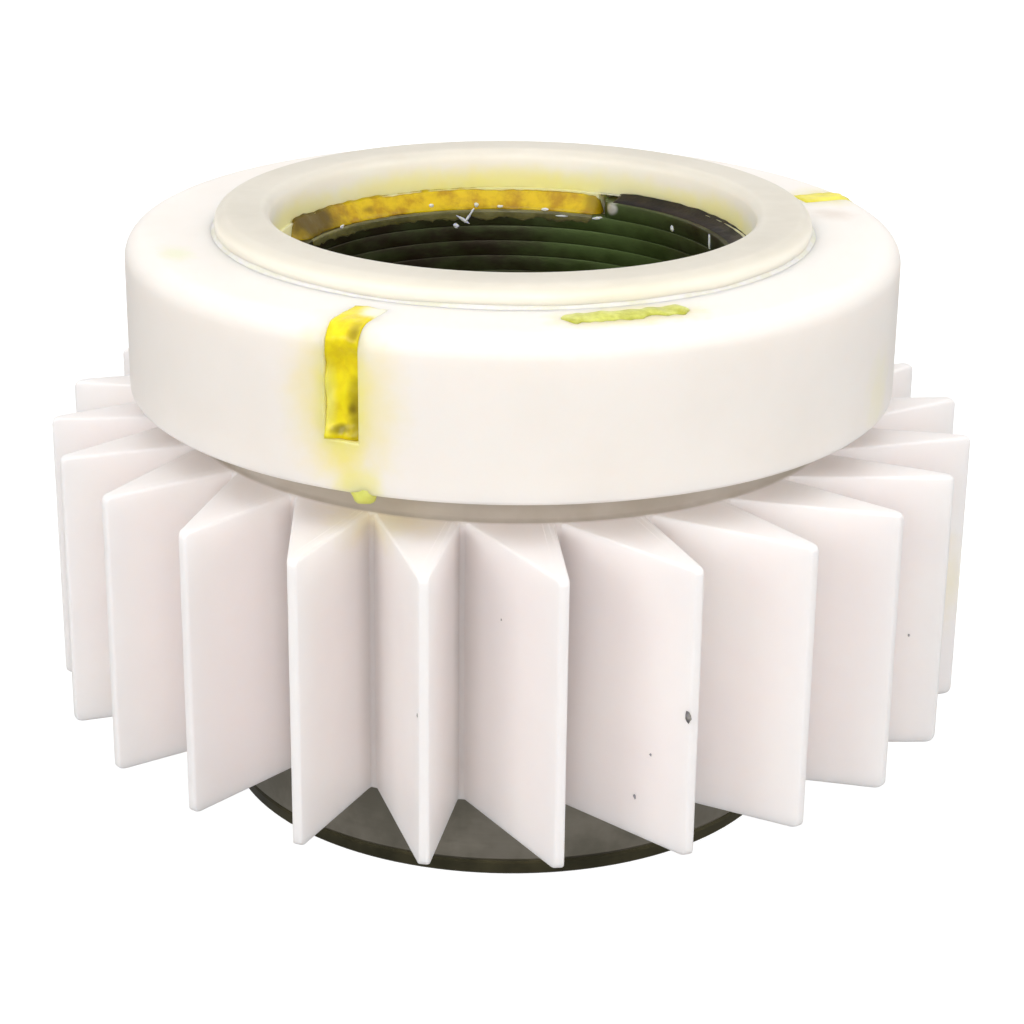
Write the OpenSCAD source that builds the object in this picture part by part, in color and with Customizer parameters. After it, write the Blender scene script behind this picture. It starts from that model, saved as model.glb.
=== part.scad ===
// Toothed stop collar of a wrap spring clutch, with its drive spring and its steel hub.
// The origin is at the centre of the hub's flat foot and +Z runs up the common axis.
// A bearing is an angle about +Z measured from the front: 0 is -Y and 90 is +X.

/* [Toothed wheel] */
// Diameter over the tooth tips
tip_d = 80; // [78:1:90]
// Diameter at the bottom of the tooth gaps
root_d = 57; // [57:0.5:60]
// Number of teeth
tooth_count = 24; // [12:1:30]
// Height of the teeth along the axis
face_h = 24.2; // [22:0.1:26]
// Bearing of the first tooth's tip
first_tip_deg = 5.9; // [0:0.1:15]
// Width of the tooth tip land, as an angle
tip_land_deg = 1.1; // [0.8:0.1:2]
// Angle between the tip and the foot of the steep flank
steep_lean_deg = 0.6; // [0.4:0.1:2]
// Angle of the flat at the bottom of each gap
gap_floor_deg = 1; // [0.5:0.1:2]
// Rounding of the tips' upper and lower corners
tip_round = 0.7; // [0.3:0.1:1.5]
// Height of the plain neck between the teeth and the collar
neck_h = 3.2; // [2.5:0.1:4]

/* [Slotted collar] */
// Outside diameter of the collar
collar_d = 66.2; // [64:0.1:70]
// Height of the collar
collar_h = 13.3; // [13:0.1:15]
// Radius of the collar's upper shoulder
shoulder_r = 1.9; // [1:0.1:2.5]
// Width of the two key slots
slot_w = 2.8; // [2.6:0.1:3.2]
// Height of the slot floor above the collar's lower face
slot_floor = 4.2; // [4.1:0.1:4.6]
// Bearing of the front slot
front_slot_deg = -22.9; // [-30:0.1:-15]
// Bearing of the rear slot
rear_slot_deg = 112.1; // [105:0.1:120]

/* [Inner sleeve] */
// Outside diameter of the sleeve
sleeve_d = 51; // [50.8:0.1:51.4]
// Bore of the land inside the lip, which locates the input hub
land_d = 41.6; // [41.6:0.1:42.4]
// Bore below the land, which clears the spring
sleeve_bore_d = 41.1; // [41:0.1:41.3]
// How far the sleeve's lip stands above the collar
lip_h = 1.8; // [1:0.1:3]
// Angle that the collar can turn back on the sleeve
release_deg = 12; // [6:1:15]

/* [Drive spring] */
// Bore of the lower turns, which grip the output hub
spring_bore_d = 37.5; // [36:0.1:37.6]
// Bore of the upper turns, which take the input hub
entry_bore_d = 38; // [38:0.1:38.4]
// Width of the square wire across the coil
wire_w = 1.45; // [1.2:0.05:1.5]
// Height of one turn
wire_h = 1.43; // [1.4:0.01:1.45]
// Number of turns
turns = 21; // [20:1:21]
// Bearing of the tang at the upper end
tang_deg = 157.1; // [150:0.1:160]

/* [Hub] */
// Diameter of the hub flange
hub_d = 50.8; // [50:0.1:51]
// How far the hub stands below the teeth
hub_drop = 8.5; // [8:0.1:9]
// Diameter of the shaft
shaft_d = 25; // [20:1:26]
// Circle of the tapped holes in the foot
bolt_circle_d = 40; // [39:0.5:41]
// Circle of the screws that hold the end plate
screw_circle_d = 43.4; // [43:0.1:44]
// Tapping size of the four mounting holes
tapped_d = 3.3; // [2.5:0.1:3.5]

/* [Hidden] */
$fn = 96;

eps = 0.01;               // small overrun of a cutting body
run_gap = 0.05;           // radial clearance of a running fit
slide_gap = 0.1;          // clearance between greased plastic faces
edge = 0.4;               // small edge chamfer or rounding

// Levels, from the foot up
plate_t = 1.2;
wheel_z = hub_drop;
washer_t = 0.7;
flange_top = wheel_z - slide_gap - washer_t;
neck_z = wheel_z + face_h;
collar_z = neck_z + neck_h;
collar_top = collar_z + collar_h;
lip_top = collar_top + lip_h;

// Hub
tip_r = tip_d / 2;
root_r = root_d / 2;
journal_r = 21;
barrel_r = spring_bore_d / 2 - run_gap;
bush_w = 2;
hub_bore_r = shaft_d / 2 + bush_w;
journal_top = wheel_z + 7.9;
barrel_top = wheel_z + 19.5;
shaft_bush_h = 10;
ring_groove_z = wheel_z + 6.75;
ring_groove_h = 1.1;
ring_groove_r = 20;
ring_t = 1;
ring_r = 22.6;
ring_gap_deg = 40;

// Sleeve and its bearing
sleeve_r = sleeve_d / 2;
sleeve_bore_r = sleeve_bore_d / 2;
land_r = land_d / 2;
sleeve_z = wheel_z + edge;
journal_bush_r = 23;
journal_bush_h = 5.5;
foot_bore_top = wheel_z + 8.7;
lip_bevel = 1;
wheel_bore_r = sleeve_r + slide_gap;

// Seals and the wire that holds the wheel on the sleeve
o_ring_r = 0.6;
o_ring_path = sleeve_r - 0.55;
o_groove_r = sleeve_r - 1.2;
o_groove_h = 1.4;
o_ring_zs = [wheel_z + 1.9, collar_z + 2.1];
wire_r = 0.6;
wire_path = wheel_bore_r + 0.15;
wire_z = wheel_z + 4.5;

// Spring
spring_z = wheel_z + 8.5;
spring_bore_r = spring_bore_d / 2;
entry_bore_r = entry_bore_d / 2;
entry_z = barrel_top + 0.2;
spring_r = spring_bore_r + wire_w;
spring_top = spring_z + turns * wire_h;
land_z = spring_top + edge;
turn_groove = 0.2;
tang_w = 1.45;
tang_reach = 28.6;
tang_slot_w = 1.9;
tang_slot_reach = 29;

// Stop keys
slot_z = collar_z + slot_floor;
slot_back_r = 27.7;
key_gap = 0.1;
key_w = slot_w - 2 * key_gap;
key_h = 3.8;
key_nose_r = 23.6;
key_out_r = 31.4;
pocket_r = 23.4;
pocket_gap = 0.3;

// Dowels and screws
dowel_r = 0.75;
dowel_path = 27.1;
dowel_h = 8;
fastener_count = 4;
screw_r = 1.25;
screw_head_r = 2.4;
screw_len = 6;
screw_drive_r = 0.9;
screw_drive_depth = 0.9;
clear_r = 2.2;
tapped_depth = 6.5;

// Turns the children from the front to a bearing about the axis
module at_bearing(deg) {
    rotate([0, 0, deg - 90]) children();
}

// Ring between two radii and two levels
module ring(inner, outer, low, high) {
    translate([0, 0, low]) difference() {
        cylinder(r = outer, h = high - low);
        translate([0, 0, -eps]) cylinder(r = inner, h = high - low + 2 * eps);
    }
}

// Ring whose four corners are chamfered
module chamfered_ring(inner, outer, low, high, bevel) {
    rotate_extrude() polygon([
        [inner, low + bevel], [inner + bevel, low], [outer - bevel, low], [outer, low + bevel],
        [outer, high - bevel], [outer - bevel, high], [inner + bevel, high], [inner, high - bevel]]);
}

// Round bar bent into a ring
module wire_ring(path, bar_r, level) {
    translate([0, 0, level]) rotate_extrude() translate([path, 0]) circle(r = bar_r, $fn = 32);
}

// Wedge that opens a window over a range of bearings
module sector(from_deg, to_deg, low, high) {
    reach = tip_d;
    translate([0, 0, low]) linear_extrude(high - low)
        polygon([[0, 0],
                 [reach * sin(from_deg), -reach * cos(from_deg)],
                 [reach * sin(to_deg), -reach * cos(to_deg)]]);
}

// Places the children on the bolt circle
module round_the_circle(path, start_deg) {
    for (i = [0 : fastener_count - 1])
        at_bearing(start_deg + i * 360 / fastener_count) translate([path, 0, 0]) children();
}

function polar(r, deg) = [r * sin(deg), -r * cos(deg)];

// Saw-tooth outline: a slanted flank up to each tip and an almost radial one down
function tooth(tip_deg, pitch) = [
    polar(root_r, tip_deg - pitch + tip_land_deg / 2 + steep_lean_deg + gap_floor_deg),
    polar(tip_r, tip_deg - tip_land_deg / 2),
    polar(tip_r, tip_deg + tip_land_deg / 2),
    polar(root_r, tip_deg + tip_land_deg / 2 + steep_lean_deg)];

module tooth_outline() {
    pitch = 360 / tooth_count;
    polygon([for (i = [0 : tooth_count - 1]) each tooth(first_tip_deg + i * pitch, pitch)]);
}

module toothed_wheel() {
    color("whitesmoke") difference() {
        union() {
            intersection() {
                translate([0, 0, wheel_z]) linear_extrude(face_h) tooth_outline();
                chamfered_ring(wheel_bore_r - 2, tip_r, wheel_z, neck_z, tip_round);
            }
            ring(wheel_bore_r - 1, root_r - 0.4, wheel_z, collar_z);
        }
        translate([0, 0, wheel_z - eps]) cylinder(r = wheel_bore_r, h = collar_z - wheel_z + 2 * eps);
        wire_ring(wire_path, wire_r, wire_z);
        dowels();
    }
}

// Wire snapped into facing grooves, so that the wheel can turn on the sleeve but not lift off
module retaining_wire() {
    color("dimgray") wire_ring(wire_path, wire_r, wire_z);
}

module collar_outline() {
    body_r = collar_d / 2;
    width = body_r - wheel_bore_r;
    difference() {
        union() {
            translate([wheel_bore_r, collar_z]) square([width, collar_h - shoulder_r]);
            translate([wheel_bore_r, collar_z]) square([width - shoulder_r, collar_h]);
            translate([body_r - shoulder_r, collar_top - shoulder_r]) circle(r = shoulder_r, $fn = 48);
        }
        translate([body_r, collar_z]) rotate(45) square(edge * sqrt(2), center = true);
    }
}

// Slot open at the top and the outside, with a lower window through to the sleeve
module key_slot(deg) {
    at_bearing(deg) {
        translate([slot_back_r, -slot_w / 2, slot_z]) cube([tip_r, slot_w, collar_h]);
        translate([wheel_bore_r - 1, -slot_w / 2, slot_z])
            cube([tip_r, slot_w, key_h + 2 * key_gap]);
    }
}

// Groove in the collar's bore that takes the spring's tang
module tang_groove() {
    at_bearing(tang_deg)
        translate([wheel_bore_r - 1, -tang_slot_w / 2, collar_z - eps])
            cube([tang_slot_reach - wheel_bore_r + 1, tang_slot_w, spring_top - collar_z + key_gap]);
}

module slotted_collar() {
    color("whitesmoke") difference() {
        rotate_extrude() collar_outline();
        key_slot(front_slot_deg);
        key_slot(rear_slot_deg);
        tang_groove();
        dowels();
    }
}

// Half of each dowel stands in the wheel and half in the collar
module dowels() {
    round_the_circle(dowel_path, 45)
        translate([0, 0, collar_z - dowel_h / 2]) cylinder(r = dowel_r, h = dowel_h, $fn = 24);
}

module collar_dowels() {
    color("silver") dowels();
}

// Flat steel key: the nose stands in the sleeve's pocket and limits the collar's travel
module stop_key(deg) {
    color("darkslategray") at_bearing(deg)
        translate([key_nose_r, -key_w / 2, slot_z + key_gap])
            difference() {
                cube([key_out_r - key_nose_r, key_w, key_h]);
                translate([key_out_r - key_nose_r, key_w / 2, key_h])
                    rotate([90, 45, 0]) cube([edge, edge, key_w + 1], center = true);
            }
}

// Pocket in the sleeve's outside that leaves room for a key's nose over the whole travel
module key_pocket(deg) {
    half_key_deg = asin(slot_w / 2 / pocket_r) + 1;
    difference() {
        sector(deg - release_deg - half_key_deg, deg + half_key_deg,
               slot_z - pocket_gap, slot_z + key_h + 2 * key_gap + pocket_gap);
        cylinder(r = pocket_r, h = lip_top);
    }
}

// Turned outline: the bush seat at the foot, the spring's room and the land inside the lip
module sleeve_blank() {
    rotate_extrude() polygon([
        [journal_bush_r, sleeve_z], [sleeve_r - edge, sleeve_z], [sleeve_r, sleeve_z + edge],
        [sleeve_r, lip_top - lip_bevel], [sleeve_r - lip_bevel, lip_top],
        [land_r + edge, lip_top], [land_r, lip_top - edge], [land_r, land_z],
        [sleeve_bore_r, land_z], [sleeve_bore_r, foot_bore_top], [journal_bush_r, foot_bore_top]]);
}

module inner_sleeve() {
    half_tang_deg = asin(tang_w / 2 / sleeve_bore_r) + 1;
    color("ivory") difference() {
        sleeve_blank();
        for (z = o_ring_zs) ring(o_groove_r, sleeve_r + 1, z - o_groove_h / 2, z + o_groove_h / 2);
        wire_ring(wire_path, wire_r + slide_gap, wire_z);
        key_pocket(front_slot_deg);
        key_pocket(rear_slot_deg);
        sector(tang_deg - release_deg - half_tang_deg, tang_deg + half_tang_deg,
               spring_top - wire_h - pocket_gap, spring_top + pocket_gap);
    }
}

module journal_bush() {
    color("peru") ring(journal_r + run_gap, journal_bush_r, sleeve_z, sleeve_z + journal_bush_h);
}

module lower_o_ring() {
    color("black") wire_ring(o_ring_path, o_ring_r, o_ring_zs[0]);
}

module upper_o_ring() {
    color("black") wire_ring(o_ring_path, o_ring_r, o_ring_zs[1]);
}

// Close-wound coil: a smooth bore, and a groove outside between each turn and the next
module drive_spring() {
    color("darkslategray") difference() {
        union() {
            ring(spring_bore_r, spring_r, spring_z, spring_top);
            at_bearing(tang_deg) translate([spring_r - wire_w / 2, -tang_w / 2, spring_top - wire_h])
                cube([tang_reach - spring_r + wire_w / 2, tang_w, wire_h]);
        }
        translate([0, 0, entry_z]) cylinder(r = entry_bore_r, h = spring_top);
        for (i = [1 : turns - 2])
            translate([0, 0, spring_z + i * wire_h]) rotate_extrude()
                translate([spring_r, 0]) rotate(45) square(turn_groove * sqrt(2), center = true);
    }
}

module output_hub() {
    color("slategray") difference() {
        union() {
            chamfered_ring(hub_bore_r - 1, hub_d / 2, plate_t, flange_top, edge);
            ring(hub_bore_r - 1, journal_r, plate_t + edge, journal_top);
            ring(hub_bore_r - 1, barrel_r, plate_t + edge, barrel_top);
        }
        cylinder(r = hub_bore_r, h = barrel_top + 1);
        ring(ring_groove_r, journal_r + 1, ring_groove_z, ring_groove_z + ring_groove_h);
        round_the_circle(bolt_circle_d / 2, 0) cylinder(r = tapped_d / 2, h = tapped_depth, $fn = 32);
        round_the_circle(screw_circle_d / 2, 45) cylinder(r = screw_r, h = screw_len, $fn = 32);
    }
}

module countersunk_screw() {
    difference() {
        union() {
            cylinder(r = screw_r, h = screw_len, $fn = 32);
            cylinder(r1 = screw_head_r, r2 = screw_r, h = plate_t, $fn = 32);
        }
        translate([0, 0, -eps]) cylinder(r = screw_drive_r, h = screw_drive_depth, $fn = 6);
    }
}

module end_plate() {
    color("dimgray") difference() {
        chamfered_ring(shaft_d / 2 + edge, hub_d / 2 - edge / 2, 0, plate_t, edge / 2);
        round_the_circle(bolt_circle_d / 2, 0)
            translate([0, 0, -eps]) cylinder(r = clear_r, h = plate_t + 1, $fn = 32);
        round_the_circle(screw_circle_d / 2, 45) countersunk_screw();
        round_the_circle(screw_circle_d / 2, 45)
            translate([0, 0, -eps]) cylinder(r = screw_r, h = plate_t + 1, $fn = 32);
    }
}

module end_plate_screws() {
    color("gray") round_the_circle(screw_circle_d / 2, 45) countersunk_screw();
}

module lower_shaft_bush() {
    color("peru") ring(shaft_d / 2, hub_bore_r, plate_t, plate_t + shaft_bush_h);
}

module upper_shaft_bush() {
    color("peru") ring(shaft_d / 2, hub_bore_r, barrel_top - shaft_bush_h, barrel_top);
}

module lower_thrust_washer() {
    color("tan") ring(journal_r + slide_gap, hub_d / 2 - edge, flange_top, flange_top + washer_t);
}

module upper_thrust_washer() {
    color("tan") ring(journal_r + slide_gap, journal_bush_r - slide_gap,
                      ring_groove_z - washer_t, ring_groove_z);
}

// Open ring sprung into the journal's groove
module hub_snap_ring() {
    color("dimgray") difference() {
        ring(ring_groove_r, ring_r, ring_groove_z, ring_groove_z + ring_t);
        sector(-ring_gap_deg / 2, ring_gap_deg / 2, ring_groove_z - 1, ring_groove_z + ring_t + 1);
    }
}

// Thin washer on the journal's shoulder, under the coil
module spring_seat() {
    color("silver") ring(barrel_r, journal_r - edge, journal_top, journal_top + edge);
}

output_hub();
end_plate();
end_plate_screws();
lower_shaft_bush();
upper_shaft_bush();
lower_thrust_washer();
upper_thrust_washer();
hub_snap_ring();
spring_seat();
inner_sleeve();
journal_bush();
lower_o_ring();
upper_o_ring();
toothed_wheel();
retaining_wire();
slotted_collar();
collar_dowels();
stop_key(front_slot_deg);  // front_stop_key
stop_key(rear_slot_deg);  // rear_stop_key
drive_spring();
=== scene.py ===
import math

import bmesh
import bpy
from mathutils import Matrix, Vector, noise


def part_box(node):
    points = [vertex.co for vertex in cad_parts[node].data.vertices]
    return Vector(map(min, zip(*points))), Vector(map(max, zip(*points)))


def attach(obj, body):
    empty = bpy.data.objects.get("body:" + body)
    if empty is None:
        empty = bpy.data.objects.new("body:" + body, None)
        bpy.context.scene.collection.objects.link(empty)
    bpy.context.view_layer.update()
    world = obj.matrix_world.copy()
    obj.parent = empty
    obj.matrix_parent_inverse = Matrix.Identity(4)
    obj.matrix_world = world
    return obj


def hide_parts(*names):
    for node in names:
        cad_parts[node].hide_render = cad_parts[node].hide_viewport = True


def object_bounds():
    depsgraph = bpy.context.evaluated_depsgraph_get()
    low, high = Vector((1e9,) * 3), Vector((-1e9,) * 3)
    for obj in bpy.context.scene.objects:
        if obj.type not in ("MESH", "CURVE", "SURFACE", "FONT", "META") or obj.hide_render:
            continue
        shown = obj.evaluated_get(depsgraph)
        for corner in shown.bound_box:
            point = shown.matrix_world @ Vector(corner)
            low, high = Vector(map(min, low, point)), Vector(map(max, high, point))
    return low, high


# Looks for the greased toothed stop collar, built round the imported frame. Lengths are in metres.
# A bearing is an angle in degrees about +Z from the front: 0 is -Y and 90 is +X.

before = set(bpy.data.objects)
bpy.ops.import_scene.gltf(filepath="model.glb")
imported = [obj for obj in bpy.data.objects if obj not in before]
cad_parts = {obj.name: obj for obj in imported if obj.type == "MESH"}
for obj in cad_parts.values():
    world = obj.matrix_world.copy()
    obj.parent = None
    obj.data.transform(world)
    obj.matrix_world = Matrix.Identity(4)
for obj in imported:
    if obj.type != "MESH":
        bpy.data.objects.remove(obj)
cad_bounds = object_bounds()
scene = bpy.context.scene
MM = 0.001


# ---------------------------------------------------------------- places and sizes

def at(radius, deg, height=0.0):
    """Point at a distance from the axis, a bearing and a height."""
    angle = math.radians(deg)
    return Vector((radius * math.sin(angle), -radius * math.cos(angle), height))


def radii(node):
    """Smallest and largest distance of a CAD node from the axis."""
    found = [math.hypot(v.co.x, v.co.y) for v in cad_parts[node].data.vertices]
    return min(found), max(found)


def levels(node):
    """Lowest and highest level of a CAD node."""
    low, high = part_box(node)
    return low.z, high.z


WHEEL_BORE, TIP_R = radii("toothed_wheel")
WHEEL_Z, COLLAR_Z = levels("toothed_wheel")
COLLAR_R = radii("slotted_collar")[1]
COLLAR_TOP = levels("slotted_collar")[1]
SLEEVE_BORE, SLEEVE_R = radii("inner_sleeve")
SLEEVE_Z, LIP_TOP = levels("inner_sleeve")
SPRING_BORE, TANG_REACH = radii("drive_spring")
SPRING_Z, SPRING_TOP = levels("drive_spring")
KEY_Z = levels("front_stop_key")[0]

TOOTH_COUNT = 24
PITCH = 360 / TOOTH_COUNT
FIRST_TIP = 5.9
ROOT_R = TIP_R * 57 / 80
TIP_LAND = 1.1
STEEP_LEAN = 0.6
GAP_FLOOR = 1.0
FACE_TOP = WHEEL_Z + 24.2 * MM
NECK_R = ROOT_R - 0.4 * MM
NECK_FILLET = 0.35 * MM
TIP_ROUND = 0.6 * MM
TIP_EDGE = 0.28 * MM
ROOT_FILLET = 0.2 * MM
FLANK_EDGE = 0.22 * MM

SHOULDER = 1.9 * MM
SLOT_W = 2.8 * MM
SLOT_BACK = 27.7 * MM
SLOT_Z = KEY_Z - 0.1 * MM
FRONT_SLOT = -22.9
REAR_SLOT = 112.1

LAND_R = 20.8 * MM
LAND_Z = SPRING_TOP + 0.4 * MM
LIP_ROUND = 1.1 * MM
LIP_INNER_ROUND = 0.9 * MM
WIRE_W = 1.45 * MM
WIRE_CORNER = 0.08 * MM
WIRE_GAP = 0.02 * MM
WIRE_BEND = 1.3 * MM
TURNS = 21
WIRE_PITCH = (SPRING_TOP - SPRING_Z) / TURNS
TANG_DEG = 153.4
WINDOW_BEFORE, WINDOW_AFTER = 15.7, 3.7

SMEAR_R = 28.3 * MM
SMEAR_FROM, SMEAR_TO = 7.5, 28.5
THIN_PLACE, THIN_HALF = 21.5, 1.6
LEDGE_FROM, LEDGE_TO = 156, 253
SHEEN_FILM_FROM, SHEEN_FILM_TO = 157, 251
WEDGE_FROM, WEDGE_TO = 97, 151.5


# ---------------------------------------------------------------- mesh building

def rounded(corners, steps=6):
    """Outline points from (radius, height, rounding) corners. Each rounding becomes an arc."""
    points = []
    for i, (x, y, size) in enumerate(corners):
        here = Vector((x, y))
        if not size:
            points.append(here)
            continue
        before = (Vector(corners[i - 1][:2]) - here).normalized()
        after = (Vector(corners[(i + 1) % len(corners)][:2]) - here).normalized()
        half = before.angle(after) / 2
        centre = here + (before + after).normalized() * (size / math.sin(half))
        start = here + before * (size / math.tan(half)) - centre
        end = here + after * (size / math.tan(half)) - centre
        turn = math.pi - 2 * half
        for k in range(steps + 1):
            share = k / steps
            points.append(centre + (start * math.sin((1 - share) * turn)
                                    + end * math.sin(share * turn)) / math.sin(turn))
    return points


def mesh_of(verts, faces):
    """Mesh with its faces turned outward and shaded smooth."""
    mesh = bpy.data.meshes.new("mesh")
    mesh.from_pydata([tuple(v) for v in verts], [], faces)
    bm = bmesh.new()
    bm.from_mesh(mesh)
    bmesh.ops.remove_doubles(bm, verts=bm.verts, dist=MM / 1000)
    bmesh.ops.recalc_face_normals(bm, faces=bm.faces)
    for face in bm.faces:
        face.smooth = True
    bm.to_mesh(mesh)
    bm.free()
    return mesh


def loft(rings, closed=False):
    """Mesh through a row of equal rings of points. An open row gets an end cap on each end."""
    n = len(rings[0])
    count = len(rings)
    faces = []
    for i in range(count if closed else count - 1):
        j = (i + 1) % count
        for k in range(n):
            m = (k + 1) % n
            faces.append((i * n + k, i * n + m, j * n + m, j * n + k))
    if not closed:
        faces.append(tuple(reversed(range(n))))
        faces.append(tuple(range((count - 1) * n, count * n)))
    return mesh_of([p for ring in rings for p in ring], faces)


def turned(outline, steps=240):
    """Mesh of an outline of (radius, height) points turned about the axis."""
    return loft([[at(r, i * 360 / steps, z) for r, z in outline] for i in range(steps)], closed=True)


def piece(name, mesh, body, slot, material, *stands_for):
    """Puts a mesh in the scene as a piece that rides on a body."""
    mesh.name = name
    mesh.materials.append(material)
    obj = bpy.data.objects.new(name, mesh)
    scene.collection.objects.link(obj)
    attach(obj, body)
    if stands_for:
        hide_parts(*stands_for)
    return obj


def soften(obj, width):
    """Rounds the sharp edges of a piece and keeps its flat faces flat in the shading."""
    bevel = obj.modifiers.new("edge_rounding", "BEVEL")
    bevel.width = width
    bevel.segments = 3
    bevel.limit_method = "ANGLE"
    bevel.angle_limit = math.radians(28)
    bevel.harden_normals = True
    bevel.use_clamp_overlap = False


def flatten(obj):
    """Keeps the large faces of a piece flat in the shading."""
    normals = obj.modifiers.new("flat_faces", "WEIGHTED_NORMAL")
    normals.weight = 100


def wobble(point, scale, size):
    """Smooth repeatable noise at a point, between about -size and size."""
    return size * noise.noise(Vector(point) * scale)


# ---------------------------------------------------------------- node helpers

class Shader:
    """A material with a Principled shader, and short calls for the nodes that feed it."""

    def __init__(self, name, **sockets):
        self.material = bpy.data.materials.new(name)
        self.material.use_nodes = True
        self.tree = self.material.node_tree
        self.bsdf = self.tree.nodes["Principled BSDF"]
        for socket, value in sockets.items():
            self.bsdf.inputs[socket.replace("_", " ")].default_value = value
        self.place = self.node("ShaderNodeTexCoord").outputs["Object"]

    def node(self, kind, **settings):
        made = self.tree.nodes.new(kind)
        for key, value in settings.items():
            setattr(made, key, value)
        return made

    def put(self, value, socket):
        """Links an output to a socket, or sets the socket's own value."""
        if isinstance(value, bpy.types.NodeSocket):
            self.tree.links.new(value, socket)
        else:
            socket.default_value = value

    def math(self, operation, a, b=0.0):
        made = self.node("ShaderNodeMath", operation=operation)
        self.put(a, made.inputs[0])
        self.put(b, made.inputs[1])
        return made.outputs[0]

    def span(self, value, low, high, to_low=0.0, to_high=1.0):
        """Smooth step of a value from one range to another."""
        made = self.node("ShaderNodeMapRange", interpolation_type="SMOOTHSTEP")
        for socket, number in zip(made.inputs, (value, low, high, to_low, to_high)):
            self.put(number, socket)
        return made.outputs[0]

    def stretched(self, scale):
        """Object coordinates multiplied by a scale for each axis."""
        made = self.node("ShaderNodeVectorMath", operation="MULTIPLY")
        self.put(self.place, made.inputs[0])
        made.inputs[1].default_value = scale
        return made.outputs[0]

    def noise(self, scale, detail=3.0, roughness=0.5, vector=None):
        made = self.node("ShaderNodeTexNoise")
        self.put(vector or self.place, made.inputs["Vector"])
        made.inputs["Scale"].default_value = scale
        made.inputs["Detail"].default_value = detail
        made.inputs["Roughness"].default_value = roughness
        return made.outputs["Fac"]

    def mix(self, factor, a, b):
        made = self.node("ShaderNodeMix", data_type="RGBA")
        self.put(factor, made.inputs["Factor"])
        self.put(a, made.inputs[6])
        self.put(b, made.inputs[7])
        return made.outputs[2]

    def away_and_height(self):
        """Distance from the axis, and height."""
        parts = self.node("ShaderNodeSeparateXYZ")
        self.put(self.place, parts.inputs[0])
        across = self.math("MULTIPLY", parts.outputs["X"], parts.outputs["X"])
        along = self.math("MULTIPLY", parts.outputs["Y"], parts.outputs["Y"])
        return self.math("SQRT", self.math("ADD", across, along)), parts.outputs["Z"]

    def turned_vector(self):
        """Coordinates with no bearing in them, so that a texture follows the lathe's tool."""
        away, height = self.away_and_height()
        made = self.node("ShaderNodeCombineXYZ")
        self.put(away, made.inputs["X"])
        self.put(height, made.inputs["Z"])
        return made.outputs[0]

    def patch(self, centre, half, core=0.0, ragged=0.0):
        """1 inside a soft ellipsoid and 0 outside it. half is its size across, along the bearing and up."""
        moved = self.node("ShaderNodeVectorMath", operation="SUBTRACT")
        self.put(self.place, moved.inputs[0])
        moved.inputs[1].default_value = centre
        swung = self.node("ShaderNodeVectorRotate", rotation_type="Z_AXIS")
        self.put(moved.outputs[0], swung.inputs["Vector"])
        swung.inputs["Angle"].default_value = -math.atan2(centre[0], -centre[1])
        shrunk = self.node("ShaderNodeVectorMath", operation="DIVIDE")
        self.put(swung.outputs[0], shrunk.inputs[0])
        shrunk.inputs[1].default_value = half
        away = self.node("ShaderNodeVectorMath", operation="LENGTH")
        self.put(shrunk.outputs[0], away.inputs[0])
        reach = away.outputs["Value"]
        if ragged:
            rough = self.math("MULTIPLY", self.math("SUBTRACT", self.noise(700, 3), 0.5), ragged)
            reach = self.math("ADD", reach, rough)
        return self.span(reach, core, 1.0, 1.0, 0.0)

    def stained(self, colour, stains):
        """A colour with soft patches over it, from (centre, half, core, ragged, colour, strength) rows."""
        for centre, half, core, ragged, tint, strength in stains:
            factor = self.math("MULTIPLY", self.patch(centre, half, core, ragged), strength)
            colour = self.mix(factor, colour, tint)
        return colour

    def colour(self, value):
        self.put(value, self.bsdf.inputs["Base Color"])

    def rough(self, value):
        self.put(value, self.bsdf.inputs["Roughness"])

    def bump(self, height, distance, strength=1.0):
        made = self.node("ShaderNodeBump")
        made.inputs["Strength"].default_value = strength
        made.inputs["Distance"].default_value = distance
        self.put(height, made.inputs["Height"])
        self.put(made.outputs[0], self.bsdf.inputs["Normal"])


def paint(red, green, blue):
    """Colour from screen values of 0 to 255."""
    def linear(value):
        value /= 255
        return value / 12.92 if value <= 0.04045 else ((value + 0.055) / 1.055) ** 2.4
    return (linear(red), linear(green), linear(blue), 1.0)


# ---------------------------------------------------------------- materials

YELLOW_HAZE = paint(246, 226, 120)


def acetal(name, base, shade, stains, marks_scale, place_overlay=None):
    """White machined plastic that lets light through, with soft stains. The last argument, called with
    (shader, colour), lays over them a colour that depends on the place, such as painted shade."""
    made = Shader(name, Roughness=0.42, IOR=1.48, Subsurface_Weight=0.9, Subsurface_Scale=2.2 * MM,
                  Specular_IOR_Level=0.35)
    made.bsdf.inputs["Subsurface Radius"].default_value = (1.0, 0.92, 0.86)
    cloud = made.span(made.noise(60, 4, 0.6), 0.35, 0.7)
    colour = made.mix(cloud, base, shade)
    colour = made.stained(colour, stains)
    made.colour(place_overlay(made, colour) if place_overlay else colour)
    made.rough(made.span(made.noise(180, 4, 0.6), 0.3, 0.7, 0.36, 0.5))
    marks = made.noise(marks_scale, 2, 0.5, made.turned_vector())
    grain = made.noise(1500, 3, 0.6)
    made.bump(made.math("ADD", marks, made.math("MULTIPLY", grain, 0.6)), 0.02 * MM, 0.5)
    return made.material


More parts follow.
